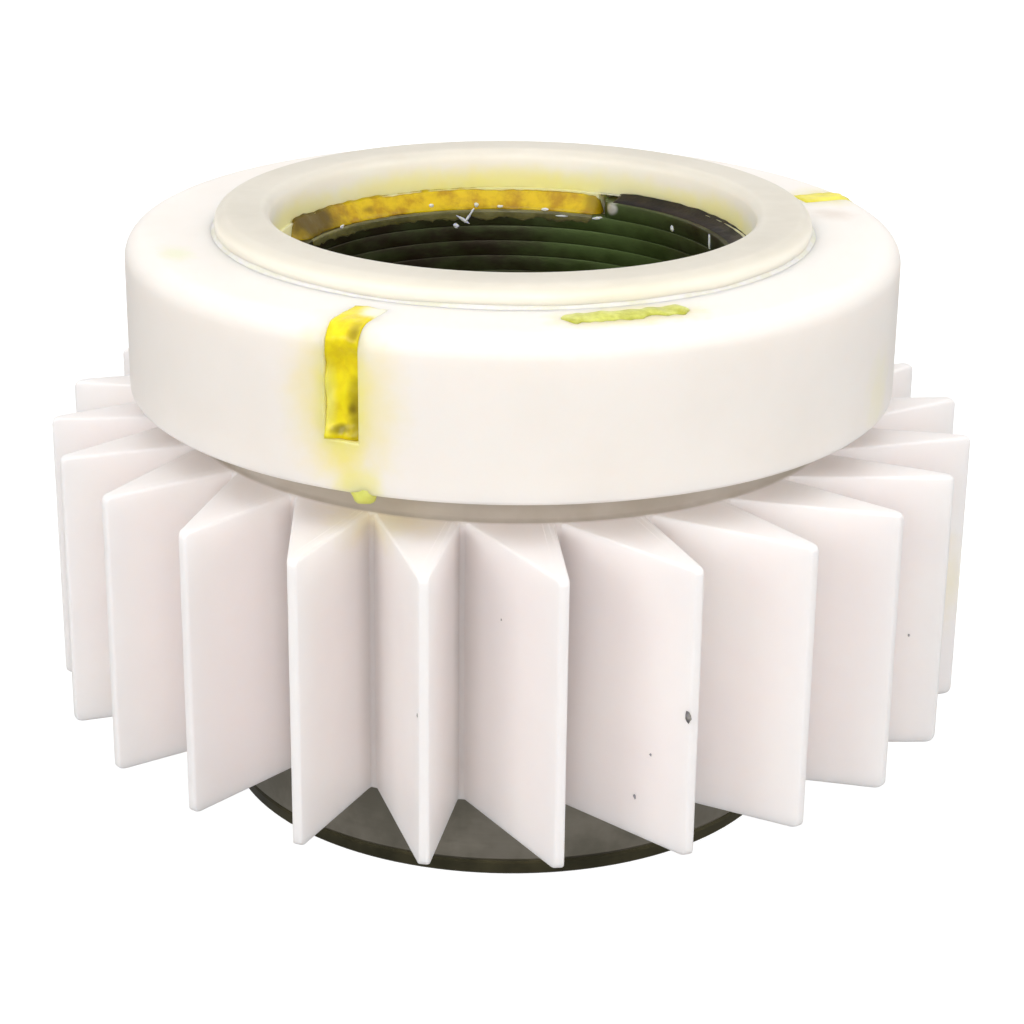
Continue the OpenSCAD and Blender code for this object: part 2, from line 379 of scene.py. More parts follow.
def painted_neck_root_shade(made, colour):
    """Painted shade in grey-brown: heavy on the neck under the collar, light in the roots of the gaps."""
    away, height = made.away_and_height()
    # painted shade: the neck under the collar and the roots of the gaps are darkened grey-brown, where shade
    # falls
    neck = made.math("MULTIPLY", made.span(away, NECK_R + 0.1 * MM, NECK_R + 0.55 * MM, 1.0, 0.0),
                     made.span(height, FACE_TOP - 0.6 * MM, FACE_TOP - 0.05 * MM))
    root = made.math("MULTIPLY", made.span(away, ROOT_R, ROOT_R + 2.6 * MM, 0.25, 0.0),
                     made.span(height, FACE_TOP - 1.2 * MM, FACE_TOP - 0.3 * MM, 1.0, 0.0))
    uneven = made.span(made.noise(160, 4, 0.6), 0.25, 0.65, 0.8, 1.0)
    colour = made.mix(made.math("MULTIPLY", root, uneven), colour, paint(170, 160, 152))
    return made.mix(made.math("MULTIPLY", neck, uneven), colour, paint(188, 178, 164))


def lip_darker_tones(made, colour):
    """Darker cream over the lip's end face, and a weaker darkening over its outside."""
    away, height = made.away_and_height()
    # darkens the end face towards grey cream, and the outside wall a little
    top = made.span(height, LIP_TOP - 0.9 * MM, LIP_TOP - 0.1 * MM, 0.0, 0.9)
    uneven = made.span(made.noise(90, 4, 0.6), 0.3, 0.7, 0.8, 1.0)
    wall = made.math("MULTIPLY", made.span(away, SLEEVE_R - 0.6 * MM, SLEEVE_R - 0.2 * MM), 0.5)
    colour = made.mix(wall, colour, paint(232, 227, 210))
    return made.mix(made.math("MULTIPLY", top, uneven), colour, paint(206, 201, 188))


def wheel_plastic():
    """Plastic of the wheel, with a cream stain on a tooth, a haze under the grease drop, and painted shade on
    the neck and in the roots.
    """
    tooth_at_right = at(TIP_R * 0.98, 78, WHEEL_Z + 11 * MM)
    under_drop = at(ROOT_R, -20, FACE_TOP)
    stains = [
        (tooth_at_right, (6 * MM, 6 * MM, 6 * MM), 0.1, 0.8, paint(240, 228, 180), 0.35),
        (under_drop, (7 * MM, 7 * MM, 3 * MM), 0.1, 0.5, YELLOW_HAZE, 0.3),
    ]
    # the last argument paints shade on the neck and in the roots
    return acetal("wheel_plastic", paint(247, 241, 239), paint(243, 237, 236), stains, 400, painted_neck_root_shade)


def collar_plastic():
    """Plastic of the collar: haze round the slots, the drop and the smear, two old stains, and painted shade
    on the top beside the lip.
    """
    front_wall = at(COLLAR_R, FRONT_SLOT, SLOT_Z + 3 * MM)
    rear_wall = at(COLLAR_R - 3 * MM, REAR_SLOT, COLLAR_TOP - 2 * MM)
    above_drop = at(COLLAR_R, -20.3, COLLAR_Z)
    round_smear = at(SMEAR_R, 18, COLLAR_TOP)
    shade_right_of_lip = at(28.4 * MM, 100, COLLAR_TOP)
    left_top = at(29.5 * MM, -69, COLLAR_TOP)
    right_wall = at(COLLAR_R, 66, COLLAR_Z + 3 * MM)
    stains = [
        (front_wall, (6.5 * MM, 8 * MM, 9 * MM), 0.15, 0.3, YELLOW_HAZE, 0.6),
        (front_wall, (3 * MM, 8 * MM, 8 * MM), 0.2, 0.3, paint(250, 232, 90), 0.75),
        (rear_wall, (5 * MM, 5 * MM, 6 * MM), 0.2, 0.4, YELLOW_HAZE, 0.5),
        (above_drop, (3 * MM, 4 * MM, 3.5 * MM), 0.2, 0.5, paint(240, 232, 110), 0.6),
        (round_smear, (8 * MM, 3.4 * MM, 2 * MM), 0.3, 0.6, YELLOW_HAZE, 0.5),
        # painted shade on the collar's top, to the right of the lip's wall
        (shade_right_of_lip, (3 * MM, 2.6 * MM, 2 * MM), 0.1, 0.6, paint(214, 202, 188), 0.5),
        (left_top, (3.5 * MM, 2 * MM, 2 * MM), 0.1, 0.7, paint(226, 232, 190), 0.5),
        (right_wall, (4 * MM, 4 * MM, 5 * MM), 0.1, 0.7, paint(246, 240, 206), 0.5),
    ]
    return acetal("collar_plastic", paint(246, 240, 234), paint(242, 236, 229), stains, 260)


def sleeve_plastic():
    """Plastic of the sleeve, with yellow haze round the foot of its land."""
    stains, half = [], (12 * MM, 5 * MM, 2.6 * MM)
    for deg, strength in ((-110, 0.55), (-150, 0.6), (180, 0.7), (150, 0.5), (115, 0.6)):
        stains.append((at(LAND_R, deg, LAND_Z), half, 0.25, 0.35, paint(248, 236, 116), strength))
    for deg in (-60, -20, 20, 60):
        stains.append((at(LAND_R, deg, SPRING_TOP), half, 0.25, 0.35, paint(246, 238, 160), 0.5))
    return acetal("sleeve_plastic", paint(248, 243, 232), paint(244, 238, 225), stains, 500, lip_darker_tones)


def steel(name, dark, light, rough_low, rough_high, groove_scale, groove_depth, metal=1.0):
    """Turned metal: rings from the tool, and an uneven film of oil."""
    made = Shader(name, Metallic=metal)
    film = made.span(made.noise(140, 4, 0.6), 0.35, 0.68)
    made.colour(made.mix(film, dark, light))
    made.rough(made.span(made.noise(220, 4, 0.6), 0.3, 0.7, rough_low, rough_high))
    rings = made.noise(groove_scale, 2, 0.5, made.turned_vector())
    made.bump(rings, groove_depth, 0.6)
    return made.material


def spring_wire():
    """Dark oiled wire: browner to the left, greener in the middle, bare at the cut end, where a glint is
    painted on as a lighter patch.
    """
    made = Shader("spring_wire", Metallic=0.6, Coat_Weight=0.12, Coat_Roughness=0.15)
    film = made.span(made.noise(260, 4, 0.65, made.stretched((1, 1, 2.5))), 0.35, 0.7)
    colour = made.mix(film, paint(44, 36, 22), paint(58, 66, 34))
    green = made.patch(at(SPRING_BORE, 150, SPRING_TOP - 4 * MM), (13 * MM, 8 * MM, 9 * MM), 0.1, 0.5)
    colour = made.mix(made.math("MULTIPLY", green, 0.75), colour, paint(74, 96, 44))
    # painted highlight: a light grey patch at the bare cut end stands for its glint
    end = made.patch(at(SPRING_BORE + 0.3 * MM, TANG_DEG - 2.2, SPRING_TOP - 0.5 * MM),
                     (0.8 * MM, 1.6 * MM, 0.7 * MM), 0.4, 0.5)
    made.colour(made.mix(end, colour, paint(205, 205, 200)))
    made.rough(made.span(made.noise(420, 4, 0.6), 0.3, 0.7, 0.34, 0.6))
    made.bump(made.noise(900, 4, 0.6), 0.03 * MM, 0.8)
    return made.material


def grease(name, bright, deep, stains=(), gloss=0.3, coat=0.25):
    """Wet translucent grease with streaks of a deeper colour."""
    made = Shader(name, Subsurface_Weight=0.35, Subsurface_Scale=1.0 * MM, IOR=1.46,
                  Coat_Weight=coat, Coat_Roughness=0.1, Specular_IOR_Level=0.3)
    made.bsdf.inputs["Subsurface Radius"].default_value = (1.4, 1.1, 0.15)
    streaks = made.span(made.noise(420, 5, 0.65), 0.36, 0.68)
    made.colour(made.stained(made.mix(streaks, bright, deep), stains))
    made.rough(made.span(made.noise(600, 3, 0.6), 0.3, 0.7, gloss, gloss + 0.2))
    made.bump(made.noise(500, 4, 0.6), 0.12 * MM, 0.8)
    return made.material


def slot_stains():
    """Colours in the front slot's grease: pale on the left wall, olive on the right as deep grease and
    painted shade from the right wall, white at the top.
    """
    face = COLLAR_R - 1 * MM
    olive = paint(160, 144, 6)
    return [
        (at(COLLAR_R - 0.8 * MM, FRONT_SLOT - 2.3, SLOT_Z + 3 * MM), (0.9 * MM, 3 * MM, 4.2 * MM),
         0.2, 0.3, paint(246, 236, 116), 0.85),
        # deep grease and painted shade beside the slot's right wall
        (at(face, FRONT_SLOT + 1.8, SLOT_Z + 2 * MM), (1.3 * MM, 4 * MM, 4.4 * MM), 0.2, 0.5, olive, 0.9),
        (at(face, FRONT_SLOT + 1.0, SLOT_Z + 2.3 * MM), (0.6 * MM, 4 * MM, 0.7 * MM),
         0.1, 0.6, paint(120, 100, 2), 0.8),
        (at(face, FRONT_SLOT - 0.7, SLOT_Z + 0.7 * MM), (1.1 * MM, 4 * MM, 0.6 * MM),
         0.2, 0.6, paint(136, 124, 4), 0.85),
        (at(face, FRONT_SLOT + 1.6, COLLAR_TOP - 0.8 * MM), (0.8 * MM, 2 * MM, 1.1 * MM),
         0.2, 0.5, paint(150, 130, 10), 0.8),
        (at(28.6 * MM, FRONT_SLOT + 2.2, COLLAR_TOP), (1.9 * MM, 2.2 * MM, 1.0 * MM),
         0.35, 0.4, paint(250, 247, 226), 0.97)]


def amber_stains():
    """Brown places in the grease on the coil: at both ends, and one small one between."""
    return [
        (at(SLEEVE_BORE, 244, SPRING_TOP), (6 * MM, 5.5 * MM, 3 * MM), 0.35, 0.5, paint(84, 66, 6), 0.95),
        (at(SLEEVE_BORE, 158, SPRING_TOP), (1.6 * MM, 3 * MM, 3 * MM), 0.2, 0.6, paint(130, 110, 8), 0.8),
        (at(SLEEVE_BORE, 222, SPRING_TOP - 0.4 * MM), (1.0 * MM, 2 * MM, 0.5 * MM),
         0.1, 0.6, paint(90, 60, 6), 0.8)]


# ---------------------------------------------------------------- white plastic pieces

def tooth_corners(tip_deg, tip_r=None):
    """The four corners of a tooth: slanted foot, the two tip corners, steep foot."""
    land, radius = TIP_LAND / 2, tip_r or TIP_R
    steep_deg = tip_deg + land + STEEP_LEAN
    slanted_foot, steep_foot = at(ROOT_R, steep_deg - PITCH + GAP_FLOOR), at(ROOT_R, steep_deg)
    return [slanted_foot, on_circle(slanted_foot, at(TIP_R, tip_deg - land), radius),
            on_circle(steep_foot, at(TIP_R, tip_deg + land), radius), steep_foot]


def on_circle(start, end, radius):
    """Point of a level line at a distance from the axis."""
    way = end - start
    a, b, c = way.dot(way), 2 * start.dot(way), start.dot(start) - radius * radius
    return start + way * ((math.sqrt(b * b - 4 * a * c) - b) / (2 * a))


def inward(corners, inset):
    """Corners of an outline whose sides have all moved inward."""
    moved = []
    for i, here in enumerate(corners):
        before, after = here - corners[i - 1], corners[(i + 1) % len(corners)] - here
        normals = [Vector((-way.y, way.x, 0)).normalized() for way in (before, after)]
        moved.append(here + (normals[0] + normals[1]) * inset / (1 + normals[0].dot(normals[1])))
    return moved


def wheel_outline(tip_r, inset):
    """Points round all the teeth, with rounded tip edges and roots."""
    corners = []
    for i in range(TOOTH_COUNT):
        foot, left, right, steep = tooth_corners(FIRST_TIP + i * PITCH, tip_r)
        corners += [foot, foot.lerp(left, 0.2), foot.lerp(left, 0.42), foot.lerp(left, 0.68)]
        corners += [left, right, steep]
    sizes = (ROOT_FILLET, 0, 0, 0, TIP_EDGE, TIP_EDGE, ROOT_FILLET) * TOOTH_COUNT
    return rounded([(p.x, p.y, size) for p, size in zip(inward(corners, inset), sizes)], steps=4)


def fall_back(size, depth):
    """How far a rounding of a given size stands back at a depth below the end face."""
    return size - math.sqrt(size * size - max(0.0, size - depth) ** 2)


def wheel_mesh():
    """Saw teeth round a ring, with all the edges of their ends rounded."""
    steps = 7
    depths = [TIP_ROUND * (1 - math.cos(math.radians(90 * k / steps))) for k in range(steps + 1)]
    rows = []
    for height, depth in [(WHEEL_Z + d, d) for d in depths] + [(FACE_TOP - d, d) for d in reversed(depths)]:
        outline = wheel_outline(TIP_R - fall_back(TIP_ROUND, depth), fall_back(FLANK_EDGE, depth))
        rows.append([Vector((p.x, p.y, height)) for p in outline])
    bearings = [math.degrees(math.atan2(p.x, -p.y)) for p in rows[-1]]
    for height in (FACE_TOP, WHEEL_Z):
        rows.append([at(WHEEL_BORE, deg, height) for deg in bearings])
    return loft(rows, closed=True)


def neck_outline():
    """Plain neck between the teeth and the collar, with a fillet at its foot and a root in the wheel."""
    bore, root, foot = WHEEL_BORE + 0.3 * MM, FACE_TOP - 0.5 * MM, FACE_TOP + 0.01 * MM
    points = [Vector((bore, COLLAR_Z)), Vector((bore, root)), Vector((NECK_R + NECK_FILLET, root))]
    steps = 6
    for k in range(steps + 1):
        turn = math.radians(90 * k / steps)
        points.append(Vector((NECK_R + NECK_FILLET * (1 - math.sin(turn)),
                              foot + NECK_FILLET * (1 - math.cos(turn)))))
    return points + [Vector((NECK_R, COLLAR_Z))]


def collar_outline():
    """(outline points, index where a slot begins, index where it ends), from the bore's foot round."""
    corners = [
        (WHEEL_BORE, COLLAR_Z, 0.2 * MM), (COLLAR_R, COLLAR_Z, 0.4 * MM), (COLLAR_R, SLOT_Z, 0),
        (COLLAR_R, COLLAR_TOP, SHOULDER), (SLOT_BACK, COLLAR_TOP, 0), (WHEEL_BORE, COLLAR_TOP, 0.2 * MM)]
    points = rounded(corners, steps=8)
    first = points.index(Vector((COLLAR_R, SLOT_Z)))
    last = points.index(Vector((SLOT_BACK, COLLAR_TOP)))
    return points, first, last


def collar_mesh():
    """Turned collar whose outline is cut away between the two edges of each slot."""
    outline, first, last = collar_outline()
    rows = len(outline)
    columns, open_after = [], set()

    def slot_edge(centre, side):
        return [at(r, centre + side * math.degrees(math.asin(SLOT_W / 2 / r)), z) for r, z in outline]

    margin, step = 6.0, 2.0
    for start, end in ((FRONT_SLOT, REAR_SLOT), (REAR_SLOT, FRONT_SLOT + 360)):
        open_after.add(len(columns))
        columns += [slot_edge(start, -1), slot_edge(start, 1)]
        plain = round((end - start - 2 * margin) / step)
        for k in range(plain + 1):
            deg = start + margin + k * (end - start - 2 * margin) / plain
            columns.append([at(r, deg, z) for r, z in outline])
    verts = [p for column in columns for p in column]
    faces = []
    for i in range(len(columns)):
        j = (i + 1) % len(columns)
        for k in range(rows):
            if not (i in open_after and first <= k < last):
                m = (k + 1) % rows
                faces.append((i * rows + k, j * rows + k, j * rows + m, i * rows + m))
        if i in open_after:
            back = []
            for side, column in ((-1, i), (1, j)):
                centre = FRONT_SLOT if i == 0 else REAR_SLOT
                turn = centre + side * math.degrees(math.asin(SLOT_W / 2 / SLOT_BACK))
                back.append(len(verts))
                verts.append(at(SLOT_BACK, turn, SLOT_Z))
                faces.append(tuple(column * rows + k for k in range(first, last + 1)) + (back[-1],))
            faces.append((i * rows + first, j * rows + first, back[1], back[0]))
            faces.append((i * rows + last, j * rows + last, back[1], back[0]))
    return mesh_of(verts, faces)


def sleeve_outline():
    """Sleeve section with its lip, its land and the grooves on its outside."""
    foot_bore = radii("journal_bush")[1]
    foot_top = SLEEVE_Z + 8.3 * MM
    groove_r = SLEEVE_R - 1.2 * MM
    corners = [(foot_bore, SLEEVE_Z, 0), (SLEEVE_R, SLEEVE_Z, 0.4 * MM)]
    for ring_node in ("lower_o_ring", "upper_o_ring"):
        middle = sum(levels(ring_node)) / 2
        for r, z in ((SLEEVE_R, -0.7), (groove_r, -0.7), (groove_r, 0.7), (SLEEVE_R, 0.7)):
            corners.append((r, middle + z * MM, 0))
    corners += [
        (SLEEVE_R, LIP_TOP, LIP_ROUND), (LAND_R, LIP_TOP, LIP_INNER_ROUND), (LAND_R, LAND_Z, 0.05 * MM),
        (SLEEVE_BORE, LAND_Z, 0.05 * MM), (SLEEVE_BORE, foot_top, 0), (foot_bore, foot_top, 0)]
    return rounded(corners)


def combine(obj, mesh, operation):
    """Cuts a mesh out of a piece, or joins it on, as one clean surface."""
    tool = bpy.data.objects.new("tool", mesh)
    scene.collection.objects.link(tool)
    change = obj.modifiers.new("combine", "BOOLEAN")
    change.operation = operation
    change.solver = "EXACT"
    change.object = tool
    bpy.context.view_layer.update()
    made = bpy.data.meshes.new_from_object(obj.evaluated_get(bpy.context.evaluated_depsgraph_get()))
    obj.modifiers.remove(change)
    bpy.data.objects.remove(tool)
    obj.data = made


def cut_window(obj, low_deg, high_deg, inner, outer, low, high):
    """Cuts a window through a piece, between two bearings, radii and levels."""
    steps = 8
    rings = []
    for k in range(steps + 1):
        deg = low_deg + (high_deg - low_deg) * k / steps
        rings.append([at(r, deg, z) for r, z in ((inner, low), (outer, low), (outer, high), (inner, high))])
    combine(obj, loft(rings), "DIFFERENCE")


# ---------------------------------------------------------------- spring

def wire_section(centre, outward, jitter=0.0):
    """Rounded square section of the wire, standing on a horizontal outward direction."""
    width, height, corner = WIRE_W / 2, (WIRE_PITCH - WIRE_GAP) / 2, WIRE_CORNER
    ring = []
    for sx, sz, start in ((1, -1, -90), (1, 1, 0), (-1, 1, 90), (-1, -1, 180)):
        for turn in (0, 45, 90):
            angle = math.radians(start + turn)
            x = sx * (width - corner) + corner * math.cos(angle) + jitter
            z = sz * (height - corner) + corner * math.sin(angle)
            ring.append(centre + outward * x + Vector((0, 0, z)))
    return ring


def spring_mesh():
    """Close-wound right-hand coil whose upper end turns outward as the tang."""
    per_turn = 90
    path_r = SPRING_BORE + WIRE_W / 2
    last = TANG_DEG - math.degrees(WIRE_BEND / path_r)
    top = SPRING_TOP - WIRE_PITCH / 2
    steps = per_turn * (TURNS - 1)
    rings = []
    for i in range(steps + 1):
        back = (steps - i) / per_turn
        deg = last - 360 * back
        outward = at(1, deg)
        loose = wobble((back * 1.7, deg / 200, 3), 1.0, 0.035 * MM)
        centre = outward * path_r + Vector((0, 0, top - WIRE_PITCH * back))
        rings.append(wire_section(centre, outward, loose))
    outward, along = at(1, last), at(1, last + 90)
    corner = outward * path_r + Vector((0, 0, top))
    for k in range(1, 7):
        turn = math.radians(15 * k)
        centre = corner + outward * WIRE_BEND * (1 - math.cos(turn)) + along * WIRE_BEND * math.sin(turn)
        rings.append(wire_section(centre, outward * math.cos(turn) - along * math.sin(turn)))
    tang_end = corner + along * WIRE_BEND + outward * (TANG_REACH - path_r)
    rings.append(wire_section(tang_end, -along))
    return loft(rings)


# ---------------------------------------------------------------- grease and dirt

def resampled(points, count):
    """Points at equal steps along an open line."""
    lengths = [0.0]
    for a, b in zip(points, points[1:]):
        lengths.append(lengths[-1] + (b - a).length)
    found, k = [], 0
    for i in range(count):
        goal = lengths[-1] * i / (count - 1)
        while k < len(points) - 2 and lengths[k + 1] < goal:
            k += 1
        share = (goal - lengths[k]) / (lengths[k + 1] - lengths[k])
        found.append(points[k].lerp(points[k + 1], min(1.0, share)))
    return found


def slot_grease(bearing, fill, seed):
    """Grease packed in a key slot. fill(u, v) is how far it stands from the slot's back, 1 being the
    collar's surface; u runs across the slot, -1 to 1, and v from the slot's floor over the shoulder."""
    outline, first, last = collar_outline()
    rows, cols = 40, 14
    out, across = at(1, bearing), at(1, bearing + 90)
    inset = 0.04 * MM
    rings = []
    for i, point in enumerate(resampled(outline[first:last + 1], rows)):
        v = i / (rows - 1)
        inner = Vector((SLOT_BACK + inset, min(point.y, COLLAR_TOP - 2.2 * MM)))
        ring = []
        for k in range(cols + 1):
            u = 2 * k / cols - 1
            x = u * (SLOT_W / 2 - inset)
            ragged = (wobble((u * 1.3 + seed, v * 9, seed), 1.0, 0.05)
                      + wobble((u * 3, v * 24, seed), 1.0, 0.03))
            spot = inner.lerp(point, fill(u, v) + ragged)
            ring.append(out * spot.x + across * x + Vector((0, 0, max(spot.y, SLOT_Z + inset))))
        for side in (1, -1):
            ring.append(out * inner.x + across * side * (SLOT_W / 2 - inset) + Vector((0, 0, inner.y)))
        rings.append(ring)
    return loft(rings)


def ease(value):
    """Smooth step from 0 to 1."""
    value = min(1.0, max(0.0, value))
    return value * value * (3 - 2 * value)


def front_fill(u, v):
    """Smeared up one wall and sunk at the other over the key, full to the surface above it."""
    sunk = 0.84 + 0.12 * ease(-0.1 - u) + 0.08 * (1 - ease(v / 0.1))
    return sunk + (1.02 - 0.03 * u * u - sunk) * ease((v - 0.44) / 0.16)


def rear_fill(u, v):
    """Nearly full all over, a little hollow across."""
    return 0.9 + 0.14 * min(1.0, v * 2) - 0.05 * u * u


def bead(low_deg, high_deg, section, step=1.0):
    """Grease laid along an arc. section(deg, share) gives its (radius, height) outline at a bearing."""
    whole = high_deg - low_deg == 360
    count = max(2, round((high_deg - low_deg) / step))
    rings = []
    for i in range(count if whole else count + 1):
        share = i / count
        deg = low_deg + (high_deg - low_deg) * share
        rings.append([at(r, deg, z) for r, z in section(deg, share)])
    return loft(rings, closed=whole)


def taper(share, ends):
    """0 at each end of a bead, rising to 1 over a share of its length."""
    near = min(1.0, min(share, 1 - share) / ends + 0.02)
    return math.sqrt(near * (2 - near))


def smear_section(deg, share):
    """Flat smear of grease on the collar's top, with ragged edges and a thin place."""
    ends = taper(share, 0.14)
    near = SMEAR_R - (1.3 + wobble((deg / 2.2, 1, 0), 1.0, 0.5)) * MM * ends
    far = SMEAR_R + (1.2 + wobble((deg / 1.7, 6, 0), 1.0, 0.7)) * MM * ends
    if abs(deg - THIN_PLACE) < THIN_HALF:
        far -= 0.9 * MM * (1 - abs(deg - THIN_PLACE) / THIN_HALF)
    height = (0.20 + wobble((deg / 2.6, 9, 0), 1.0, 0.14)) * MM * ends
    foot = COLLAR_TOP - 0.04 * MM
    across = [(0.0, 0.0), (0.12, 0.8), (0.45, 1.0), (0.8, 0.85), (1.0, 0.0)]
    return [(near + (far - near) * x, foot + (height + 0.04 * MM) * h) for x, h in across]


def seal_section(deg, share):
    """Thin fillet of grease where the lip comes out of the collar."""
    size = (0.42 + wobble(at(4, deg), 1.0, 0.2)) * MM
    foot = COLLAR_TOP - 0.05 * MM
    wall = SLEEVE_R - 0.08 * MM
    across = [(0.0, 0.0), (1.0, 0.0), (0.85, 0.12), (0.45, 0.4), (0.14, 0.85), (0.0, 1.0)]
    return [(wall + size * x, foot + size * h) for x, h in across]


def ledge_height(deg):
    """Height of the coil's top at a bearing."""
    return SPRING_TOP - WIRE_PITCH * ((TANG_DEG - deg) % 360) / 360


def ledge_section(deg, share):
    """Grease on the top turn of the coil, banked up against the sleeve's wall."""
    size = taper(share, 0.03)
    lumps = wobble((deg / 9, 2, 7), 1.0, 0.5) + wobble((deg / 2.3, 4, 7), 1.0, 0.22)
    height = (1.75 + 0.5 * lumps) * MM * size
    reach = (1.45 + 0.7 * lumps) * MM * max(0.5, size)
    foot = ledge_height(deg) - 0.08 * MM
    wall = SLEEVE_BORE + 0.15 * MM
    return [(wall, foot), (wall - reach, foot), (wall - reach - 0.05 * MM, foot + 0.18 * MM),
            (wall - reach * 0.8, foot + height * 0.34), (wall - reach * 0.5, foot + height * 0.6),
            (wall - reach * 0.24, foot + height * 0.86), (wall, foot + height)]


def film_and_sheen_section(deg, share):
    """Oil that has run from the ledge down the inner face of the coil's top turn, coloured lighter as a
    painted reflection on that face.
    """
    ends = taper(share, 0.05)
    drop = (0.62 + wobble((deg / 5, 3, 2), 1.0, 0.4) + wobble((deg / 1.4, 8, 2), 1.0, 0.22)) * MM * ends
    top = ledge_height(deg) + 0.06 * MM
    face = SPRING_BORE
    return [(face + 0.2 * MM, top), (face - 0.02 * MM, top), (face - 0.07 * MM, top - 0.2 * MM),
            (face - 0.07 * MM, top - 0.2 * MM - drop * 0.7), (face - 0.01 * MM, top - 0.2 * MM - drop),
            (face + 0.2 * MM, top - 0.2 * MM - drop)]


def wedge_section(deg, share):
    """Dark sheet painted as shade between the coil's top and the sleeve's wall, dying out along the wall."""
    rise = (0.22 * (1 - ease((130 - deg) / 34)) + wobble((deg / 4, 2, 5), 1.0, 0.12)) * MM * taper(share, 0.1)
    coil, land = ledge_height(deg), LAND_Z
    return [(SLEEVE_BORE - 0.05 * MM, coil - 0.1 * MM), (SPRING_BORE + 0.5 * MM, coil - 0.1 * MM),
            (SPRING_BORE + 0.5 * MM, coil + 0.04 * MM), (SLEEVE_BORE - 0.3 * MM, coil + 0.22 * MM),
            (LAND_R - 0.06 * MM, land + rise), (LAND_R + 0.1 * MM, land + rise + 0.03 * MM),
            (LAND_R + 0.1 * MM, land - 0.1 * MM)]


def glint_places():
    """Wet beads on the coil, coloured near white as painted glints, in (centre, size, seed, turn) rows. The
    first three lie across each other.
    Each is written as its bearing, height, half width and half height in millimetres, and turn."""
    crossed = [(194.6, 45.0, 0.16, 0.85, 0.9), (192.6, 45.3, 0.13, 0.8, -0.6), (196.4, 44.4, 0.2, 0.3, 0.9)]
    beads = [(190.6, 46.3, 0.2, 0.22, 0), (203.9, 46.5, 0.24, 0.16, 0), (183.7, 46.1, 0.3, 0.13, 0),
             (171.0, 45.9, 0.34, 0.14, 0), (166.0, 45.4, 0.9, 0.12, 0), (155.5, 45.5, 0.5, 0.12, 0.2),
             (129.7, 45.9, 0.2, 0.3, 0.3), (111.4, 46.1, 0.14, 0.7, 0.1), (235.3, 46.1, 0.26, 0.14, 0.3)]
    return [(at(SPRING_BORE, deg, height * MM), (wide * MM, 0.11 * MM, tall * MM), deg, turn)
            for deg, height, wide, tall, turn in crossed + beads]


def blob(centre, size, seed, rough=0.18, turn=0.0):
    """(verts, faces) of a small uneven drop. size is across the bearing, along it and up."""
    bm = bmesh.new()
    bmesh.ops.create_icosphere(bm, subdivisions=3, radius=1.0)
    swing = Matrix.Rotation(math.atan2(centre[0], -centre[1]), 3, "Z") @ Matrix.Rotation(turn, 3, "Y")
    verts = []
    for v in bm.verts:
        swell = 1 + noise.noise(v.co * 1.4 + Vector((seed, 0, seed))) * rough * 2
        local = Vector((v.co.x * size[0], v.co.y * size[1], v.co.z * size[2])) * swell
        verts.append(Vector(centre) + swing @ local)
    faces = [tuple(v.index for v in f.verts) for f in bm.faces]
    bm.free()
    return verts, faces


def blobs(places):
    """One mesh of several drops, from (centre, size, seed, turn) rows."""
    verts, faces = [], []
    for centre, size, seed, turn in places:
        more, more_faces = blob(centre, size, seed, turn=turn)
        faces += [tuple(k + len(verts) for k in f) for f in more_faces]
        verts += more
    return mesh_of(verts, faces)


def hanging_drop():
    """Drop of grease that has run down the collar and hangs from its lower edge."""
    centre = at(COLLAR_R - 0.7 * MM, -20.2, COLLAR_Z + 0.1 * MM)
    return mesh_of(*blob(centre, (1.2 * MM, 0.72 * MM, 1.1 * MM), 4.2, 0.08))


def flank_point(tip_deg, share, height):
    """Point on a tooth's slanted flank, and the flank's outward direction."""
    foot, tip = tooth_corners(tip_deg)[:2]
    point = foot.lerp(tip, share)
    along = (tip - foot).normalized()
    normal = Vector((along.y, -along.x, 0))
    return Vector((point.x, point.y, height)), normal


def specks():
    """Dark flecks stuck to the teeth, a little proud of the flank: (tooth, share of the flank from its
    foot, height in tip radii, half width and half height in millimetres) rows."""
    chosen = [(1, 0.985, 0.299, 0.36, 0.5), (1, 0.61, 0.085, 0.16, 0.2), (1, 0.72, 0.19, 0.12, 0.12),
              (-1, 0.97, 0.318, 0.14, 0.2), (0, 0.4, 0.45, 0.08, 0.1), (4, 0.8, 0.25, 0.1, 0.14)]
    verts, faces, sides = [], [], 9
    for tooth, share, height, across, up in chosen:
        point, normal = flank_point(FIRST_TIP + tooth * PITCH, share, WHEEL_Z + height * TIP_R)
        along = Vector((-normal.y, normal.x, 0))
        start = len(verts)
        for k in range(sides):
            turn = 2 * math.pi * k / sides
            ragged = 1 + wobble((k * 0.9, share * 7, height * 9), 1.0, 0.7)
            verts.append(point + along * across * MM * ragged * math.cos(turn)
                         + Vector((0, 0, up * MM * ragged * math.sin(turn))))
        verts.append(point + normal * 0.06 * MM)
        verts.append(point - normal * 0.06 * MM)
        for k in range(sides):
            m = (k + 1) % sides
            faces.append((start + k, start + m, start + sides))
            faces.append((start + m, start + k, start + sides + 1))
    return mesh_of(verts, faces)


# ---------------------------------------------------------------- build the object

wheel = piece("saw_tooth_wheel", wheel_mesh(), "collar", "white_plastic", wheel_plastic(), "toothed_wheel")
combine(wheel, turned(neck_outline()), "UNION")
flatten(wheel)
collar = piece("stop_collar", collar_mesh(), "collar", "white_plastic", collar_plastic(), "slotted_collar")
soften(collar, 0.16 * MM)
sleeve = piece("lip_sleeve", turned(sleeve_outline()), "sleeve", "sleeve_plastic", sleeve_plastic(),
               "inner_sleeve")
cut_window(sleeve, TANG_DEG - WINDOW_BEFORE, TANG_DEG + WINDOW_AFTER,
           SLEEVE_BORE - 1 * MM, SLEEVE_R + 1 * MM,
           SPRING_TOP - WIRE_PITCH - 0.3 * MM, SPRING_TOP + 0.3 * MM)
piece("wound_spring", spring_mesh(), "collar", "spring_steel", spring_wire(), "drive_spring")

